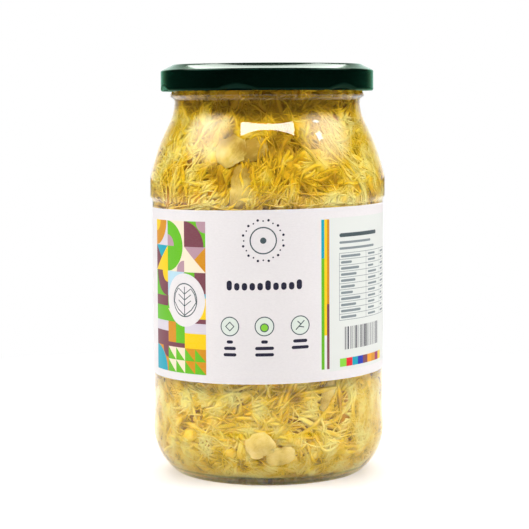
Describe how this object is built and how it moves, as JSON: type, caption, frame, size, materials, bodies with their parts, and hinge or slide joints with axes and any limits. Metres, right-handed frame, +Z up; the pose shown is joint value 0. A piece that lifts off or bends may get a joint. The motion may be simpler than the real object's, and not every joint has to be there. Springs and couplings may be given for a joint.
{
  "type": "sauerkraut jar",
  "caption": "Tall round glass preserving jar packed with shredded sauerkraut, with a dark green twist-off lid and a wrap-around paper label.",
  "frame": {"origin": "centre of the ring that the jar stands on, at the surface it stands on", "axes": "+Z up along the jar's axis, -Y out of the middle of the label's front, +X to the right as the label is read"},
  "size_m": [0.0936, 0.0936, 0.1624],
  "materials": {
    "jar_glass": "clear soda-lime glass, faintly green where it is thick",
    "lid_enamel": "glossy dark green enamel on pressed tinplate",
    "label_paper": "coated white paper with a soft sheen",
    "sauerkraut": "wet pale yellow cabbage shreds in cloudy brine"
  },
  "bodies": {
    "root": {"glass_jar": "jar_glass", "lid": "lid_enamel", "label": "label_paper", "sauerkraut": "sauerkraut"}
  },
  "joints": []
}
